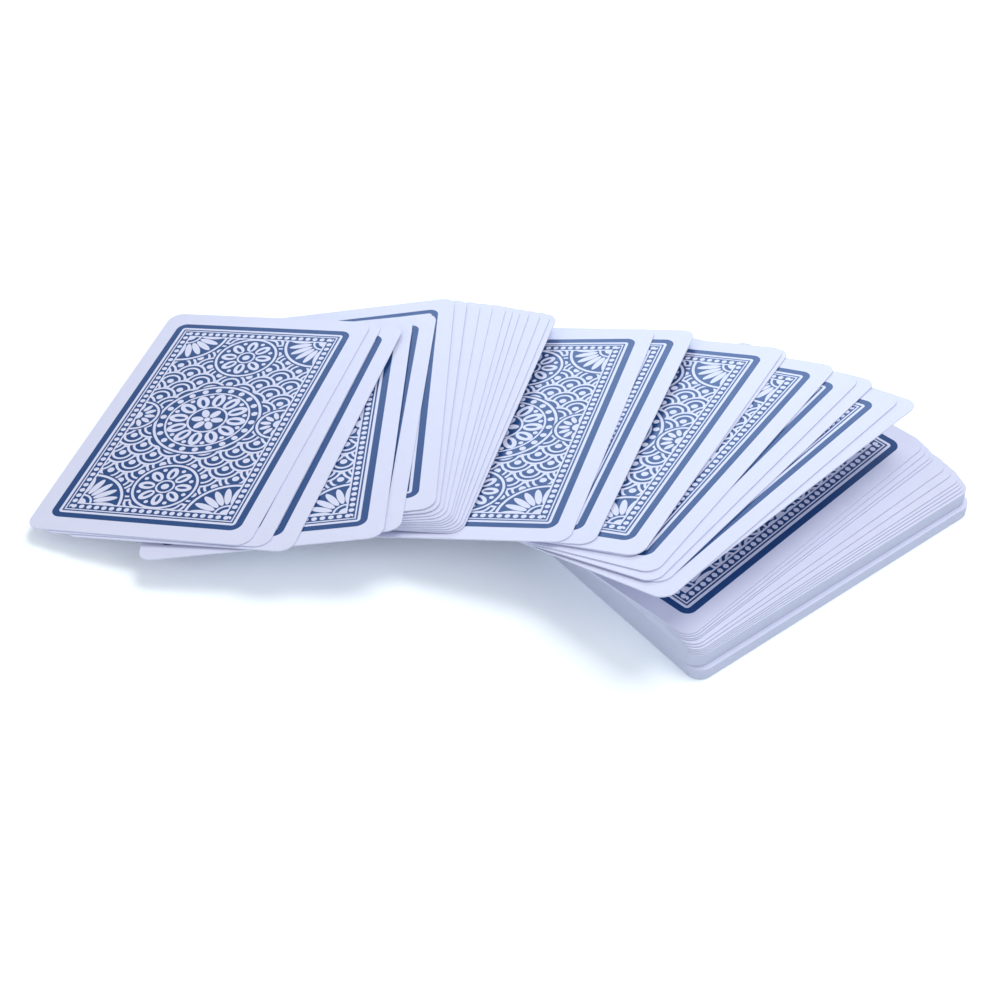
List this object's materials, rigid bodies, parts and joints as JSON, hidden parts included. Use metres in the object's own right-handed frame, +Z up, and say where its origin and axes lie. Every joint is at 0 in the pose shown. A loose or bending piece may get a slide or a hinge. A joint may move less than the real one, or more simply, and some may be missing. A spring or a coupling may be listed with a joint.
{
  "type": "playing card deck",
  "caption": "Deck of playing cards lying face down: a squared stack, with the rest of the deck spread from it in a leaning, overlapping ribbon.",
  "frame": {"origin": "middle of the bottom card's underside, on the table", "axes": "+Z up; +X to the right along the spread's length, the spread lies towards -X; +Y away from the viewer of the picture"},
  "size_m": [0.2211, 0.1295, 0.0254],
  "materials": {
    "card_stock": "plastic-coated card stock with a soft gloss, white border and a blue printed back"
  },
  "bodies": {
    "first_joker": {"first_joker": "card_stock"},
    "second_joker": {"second_joker": "card_stock"},
    "ace_of_spades": {"ace_of_spades": "card_stock"},
    "two_of_spades": {"two_of_spades": "card_stock"},
    "three_of_spades": {"three_of_spades": "card_stock"},
    "four_of_spades": {"four_of_spades": "card_stock"},
    "five_of_spades": {"five_of_spades": "card_stock"},
    "six_of_spades": {"six_of_spades": "card_stock"},
    "seven_of_spades": {"seven_of_spades": "card_stock"},
    "eight_of_spades": {"eight_of_spades": "card_stock"},
    "nine_of_spades": {"nine_of_spades": "card_stock"},
    "ten_of_spades": {"ten_of_spades": "card_stock"},
    "jack_of_spades": {"jack_of_spades": "card_stock"},
    "queen_of_spades": {"queen_of_spades": "card_stock"},
    "king_of_spades": {"king_of_spades": "card_stock"},
    "ace_of_diamonds": {"ace_of_diamonds": "card_stock"},
    "two_of_diamonds": {"two_of_diamonds": "card_stock"},
    "three_of_diamonds": {"three_of_diamonds": "card_stock"},
    "four_of_diamonds": {"four_of_diamonds": "card_stock"},
    "five_of_diamonds": {"five_of_diamonds": "card_stock"},
    "six_of_diamonds": {"six_of_diamonds": "card_stock"},
    "seven_of_diamonds": {"seven_of_diamonds": "card_stock"},
    "eight_of_diamonds": {"eight_of_diamonds": "card_stock"},
    "nine_of_diamonds": {"nine_of_diamonds": "card_stock"},
    "ten_of_diamonds": {"ten_of_diamonds": "card_stock"},
    "jack_of_diamonds": {"jack_of_diamonds": "card_stock"},
    "queen_of_diamonds": {"queen_of_diamonds": "card_stock"},
    "king_of_diamonds": {"king_of_diamonds": "card_stock"},
    "ace_of_clubs": {"ace_of_clubs": "card_stock"},
    "two_of_clubs": {"two_of_clubs": "card_stock"},
    "three_of_clubs": {"three_of_clubs": "card_stock"},
    "four_of_clubs": {"four_of_clubs": "card_stock"},
    "five_of_clubs": {"five_of_clubs": "card_stock"},
    "six_of_clubs": {"six_of_clubs": "card_stock"},
    "seven_of_clubs": {"seven_of_clubs": "card_stock"},
    "eight_of_clubs": {"eight_of_clubs": "card_stock"},
    "nine_of_clubs": {"nine_of_clubs": "card_stock"},
    "ten_of_clubs": {"ten_of_clubs": "card_stock"},
    "jack_of_clubs": {"jack_of_clubs": "card_stock"},
    "queen_of_clubs": {"queen_of_clubs": "card_stock"},
    "king_of_clubs": {"king_of_clubs": "card_stock"},
    "ace_of_hearts": {"ace_of_hearts": "card_stock"},
    "two_of_hearts": {"two_of_hearts": "card_stock"},
    "three_of_hearts": {"three_of_hearts": "card_stock"},
    "four_of_hearts": {"four_of_hearts": "card_stock"},
    "five_of_hearts": {"five_of_hearts": "card_stock"},
    "six_of_hearts": {"six_of_hearts": "card_stock"},
    "seven_of_hearts": {"seven_of_hearts": "card_stock"},
    "eight_of_hearts": {"eight_of_hearts": "card_stock"},
    "nine_of_hearts": {"nine_of_hearts": "card_stock"},
    "ten_of_hearts": {"ten_of_hearts": "card_stock"},
    "jack_of_hearts": {"jack_of_hearts": "card_stock"},
    "queen_of_hearts": {"queen_of_hearts": "card_stock"},
    "king_of_hearts": {"king_of_hearts": "card_stock"}
  },
  "joints": [
    {"name": "second_joker_slide", "type": "slide", "parent": "first_joker", "child": "second_joker", "axis": [0.6157, -0.788, 0], "range_m": [0, 0.04]},
    {"name": "ace_of_spades_slide", "type": "slide", "parent": "first_joker", "child": "ace_of_spades", "axis": [0.6157, -0.788, 0], "range_m": [0, 0.04]},
    {"name": "two_of_spades_slide", "type": "slide", "parent": "first_joker", "child": "two_of_spades", "axis": [0.6157, -0.788, 0], "range_m": [0, 0.04]},
    {"name": "three_of_spades_slide", "type": "slide", "parent": "first_joker", "child": "three_of_spades", "axis": [0.6157, -0.788, 0], "range_m": [0, 0.04]},
    {"name": "four_of_spades_slide", "type": "slide", "parent": "first_joker", "child": "four_of_spades", "axis": [0.6157, -0.788, 0], "range_m": [0, 0.04]},
    {"name": "five_of_spades_slide", "type": "slide", "parent": "first_joker", "child": "five_of_spades", "axis": [0.6157, -0.788, 0], "range_m": [0, 0.04]},
    {"name": "six_of_spades_slide", "type": "slide", "parent": "first_joker", "child": "six_of_spades", "axis": [0.6157, -0.788, 0], "range_m": [0, 0.04]},
    {"name": "seven_of_spades_slide", "type": "slide", "parent": "first_joker", "child": "seven_of_spades", "axis": [0.6157, -0.788, 0], "range_m": [0, 0.04]},
    {"name": "eight_of_spades_slide", "type": "slide", "parent": "first_joker", "child": "eight_of_spades", "axis": [0.6157, -0.788, 0], "range_m": [0, 0.04]},
    {"name": "nine_of_spades_slide", "type": "slide", "parent": "first_joker", "child": "nine_of_spades", "axis": [0.6157, -0.788, 0], "range_m": [0, 0.04]},
    {"name": "ten_of_spades_slide", "type": "slide", "parent": "first_joker", "child": "ten_of_spades", "axis": [0.6157, -0.788, 0], "range_m": [0, 0.04]},
    {"name": "jack_of_spades_slide", "type": "slide", "parent": "first_joker", "child": "jack_of_spades", "axis": [0.6157, -0.788, 0], "range_m": [0, 0.04]},
    {"name": "queen_of_spades_slide", "type": "slide", "parent": "first_joker", "child": "queen_of_spades", "axis": [0.6157, -0.788, 0], "range_m": [0, 0.04]},
    {"name": "king_of_spades_slide", "type": "slide", "parent": "first_joker", "child": "king_of_spades", "axis": [0.6157, -0.788, 0], "range_m": [0, 0.04]},
    {"name": "ace_of_diamonds_slide", "type": "slide", "parent": "first_joker", "child": "ace_of_diamonds", "axis": [0.6157, -0.788, 0], "range_m": [0, 0.04]},
    {"name": "two_of_diamonds_slide", "type": "slide", "parent": "first_joker", "child": "two_of_diamonds", "axis": [0.6157, -0.788, 0], "range_m": [0, 0.04]},
    {"name": "three_of_diamonds_slide", "type": "slide", "parent": "first_joker", "child": "three_of_diamonds", "axis": [0.6157, -0.788, 0], "range_m": [0, 0.04]},
    {"name": "four_of_diamonds_slide", "type": "slide", "parent": "first_joker", "child": "four_of_diamonds", "axis": [0.6157, -0.788, 0], "range_m": [0, 0.04]},
    {"name": "five_of_diamonds_slide", "type": "slide", "parent": "first_joker", "child": "five_of_diamonds", "axis": [0.6208, -0.784, 0], "range_m": [0, 0.04]},
    {"name": "six_of_diamonds_slide", "type": "slide", "parent": "first_joker", "child": "six_of_diamonds", "axis": [0.6259, -0.7799, 0], "range_m": [0, 0.04]},
    {"name": "seven_of_diamonds_slide", "type": "slide", "parent": "first_joker", "child": "seven_of_diamonds", "axis": [0.631, -0.7758, 0], "range_m": [0, 0.04]},
    {"name": "eight_of_diamonds_slide", "type": "slide", "parent": "first_joker", "child": "eight_of_diamonds", "axis": [0.6361, -0.7716, 0], "range_m": [0, 0.04]},
    {"name": "nine_of_diamonds_slide", "type": "slide", "parent": "first_joker", "child": "nine_of_diamonds", "axis": [0.6511, -0.759, 0], "range_m": [0, 0.04]},
    {"name": "ten_of_diamonds_slide", "type": "slide", "parent": "first_joker", "child": "ten_of_diamonds", "axis": [0.6659, -0.7461, 0], "range_m": [0, 0.04]},
    {"name": "jack_of_diamonds_slide", "type": "slide", "parent": "first_joker", "child": "jack_of_diamonds", "axis": [0.6899, -0.7239, 0], "range_m": [0, 0.04]},
    {"name": "queen_of_diamonds_slide", "type": "slide", "parent": "first_joker", "child": "queen_of_diamonds", "axis": [0.6947, -0.7193, 0], "range_m": [0, 0.04]},
    {"name": "king_of_diamonds_slide", "type": "slide", "parent": "first_joker", "child": "king_of_diamonds", "axis": [0.704, -0.7102, 0], "range_m": [0, 0.04]},
    {"name": "ace_of_clubs_slide", "type": "slide", "parent": "first_joker", "child": "ace_of_clubs", "axis": [0.7133, -0.7009, 0], "range_m": [0, 0.04]},
    {"name": "two_of_clubs_turn", "type": "hinge", "parent": "first_joker", "child": "two_of_clubs", "pos_m": [-0.02528, -0.04165, 0.02308], "axis": [-0.1798, 0.1619, 0.9703], "range_deg": [-15, 0]},
    {"name": "three_of_clubs_turn", "type": "hinge", "parent": "first_joker", "child": "three_of_clubs", "pos_m": [-0.0255, -0.04274, 0.02359], "axis": [-0.1798, 0.1619, 0.9703], "range_deg": [-15, 0]},
    {"name": "four_of_clubs_turn", "type": "hinge", "parent": "first_joker", "child": "four_of_clubs", "pos_m": [-0.02618, -0.03764, 0.02299], "axis": [-0.1798, 0.1619, 0.9703], "range_deg": [-15, 0]},
    {"name": "five_of_clubs_turn", "type": "hinge", "parent": "first_joker", "child": "five_of_clubs", "pos_m": [-0.02797, -0.03727, 0.02297], "axis": [-0.1798, 0.1619, 0.9703], "range_deg": [-15, 0]},
    {"name": "six_of_clubs_turn", "type": "hinge", "parent": "first_joker", "child": "six_of_clubs", "pos_m": [-0.02821, -0.03444, 0.02282], "axis": [-0.1798, 0.1619, 0.9703], "range_deg": [-15, 0]},
    {"name": "seven_of_clubs_turn", "type": "hinge", "parent": "first_joker", "child": "seven_of_clubs", "pos_m": [-0.03213, -0.02833, 0.02145], "axis": [-0.1798, 0.1619, 0.9703], "range_deg": [-15, 0]},
    {"name": "eight_of_clubs_turn", "type": "hinge", "parent": "first_joker", "child": "eight_of_clubs", "pos_m": [-0.0314, -0.02872, 0.02202], "axis": [-0.1798, 0.1619, 0.9703], "range_deg": [-15, 0]},
    {"name": "nine_of_clubs_turn", "type": "hinge", "parent": "first_joker", "child": "nine_of_clubs", "pos_m": [-0.04188, -0.02283, 0.01956], "axis": [-0.1889, 0.1372, 0.9724], "range_deg": [-15, 0]},
    {"name": "ten_of_clubs_turn", "type": "hinge", "parent": "first_joker", "child": "ten_of_clubs", "pos_m": [-0.0475, -0.02119, 0.01861], "axis": [-0.1889, 0.1372, 0.9724], "range_deg": [-15, 0]},
    {"name": "jack_of_clubs_turn", "type": "hinge", "parent": "first_joker", "child": "jack_of_clubs", "pos_m": [-0.07125, -0.01292, 0.01341], "axis": [-0.1594, 0.0883, 0.9833], "range_deg": [-15, 0]},
    {"name": "queen_of_clubs_turn", "type": "hinge", "parent": "first_joker", "child": "queen_of_clubs", "pos_m": [-0.07164, -0.01269, 0.01369], "axis": [-0.1594, 0.0883, 0.9833], "range_deg": [-15, 0]},
    {"name": "king_of_clubs_turn", "type": "hinge", "parent": "first_joker", "child": "king_of_clubs", "pos_m": [-0.07229, -0.01228, 0.01392], "axis": [-0.1594, 0.0883, 0.9833], "range_deg": [-15, 0]},
    {"name": "ace_of_hearts_turn", "type": "hinge", "parent": "first_joker", "child": "ace_of_hearts", "pos_m": [-0.07302, -0.01179, 0.01412], "axis": [-0.1594, 0.0883, 0.9833], "range_deg": [-15, 0]},
    {"name": "two_of_hearts_turn", "type": "hinge", "parent": "first_joker", "child": "two_of_hearts", "pos_m": [-0.07363, -0.01137, 0.01435], "axis": [-0.1594, 0.0883, 0.9833], "range_deg": [-15, 0]},
    {"name": "three_of_hearts_turn", "type": "hinge", "parent": "first_joker", "child": "three_of_hearts", "pos_m": [-0.0741, -0.01103, 0.01461], "axis": [-0.1594, 0.0883, 0.9833], "range_deg": [-15, 0]},
    {"name": "four_of_hearts_turn", "type": "hinge", "parent": "first_joker", "child": "four_of_hearts", "pos_m": [-0.07458, -0.01068, 0.01486], "axis": [-0.1594, 0.0883, 0.9833], "range_deg": [-15, 0]},
    {"name": "five_of_hearts_turn", "type": "hinge", "parent": "first_joker", "child": "five_of_hearts", "pos_m": [-0.07549, -0.00999, 0.01502], "axis": [-0.1594, 0.0883, 0.9833], "range_deg": [-15, 0]},
    {"name": "six_of_hearts_turn", "type": "hinge", "parent": "first_joker", "child": "six_of_hearts", "pos_m": [-0.07635, -0.00932, 0.01519], "axis": [-0.1594, 0.0883, 0.9833], "range_deg": [-15, 0]},
    {"name": "seven_of_hearts_turn", "type": "hinge", "parent": "first_joker", "child": "seven_of_hearts", "pos_m": [-0.0773, -0.00855, 0.01547], "axis": [-0.1594, 0.0883, 0.9833], "range_deg": [-15, 0]},
    {"name": "eight_of_hearts_turn", "type": "hinge", "parent": "first_joker", "child": "eight_of_hearts", "pos_m": [-0.07819, -0.00779, 0.01573], "axis": [-0.1594, 0.0883, 0.9833], "range_deg": [-15, 0]},
    {"name": "nine_of_hearts_turn", "type": "hinge", "parent": "first_joker", "child": "nine_of_hearts", "pos_m": [-0.08563, -0.01461, 0.01551], "axis": [-0.1594, 0.0883, 0.9833], "range_deg": [-15, 0]},
    {"name": "ten_of_hearts_turn", "type": "hinge", "parent": "first_joker", "child": "ten_of_hearts", "pos_m": [-0.08955, -0.017, 0.01566], "axis": [-0.1594, 0.0883, 0.9833], "range_deg": [-15, 0]},
    {"name": "jack_of_hearts_turn", "type": "hinge", "parent": "first_joker", "child": "jack_of_hearts", "pos_m": [-0.10932, -0.01826, 0.01303], "axis": [-0.1381, 0.0734, 0.9877], "range_deg": [-15, 0]},
    {"name": "queen_of_hearts_turn", "type": "hinge", "parent": "first_joker", "child": "queen_of_hearts", "pos_m": [-0.11482, -0.01626, 0.01247], "axis": [-0.1381, 0.0734, 0.9877], "range_deg": [-15, 0]},
    {"name": "king_of_hearts_turn", "type": "hinge", "parent": "first_joker", "child": "king_of_hearts", "pos_m": [-0.11911, -0.0155, 0.01218], "axis": [-0.1381, 0.0734, 0.9877], "range_deg": [-15, 0]}
  ]
}
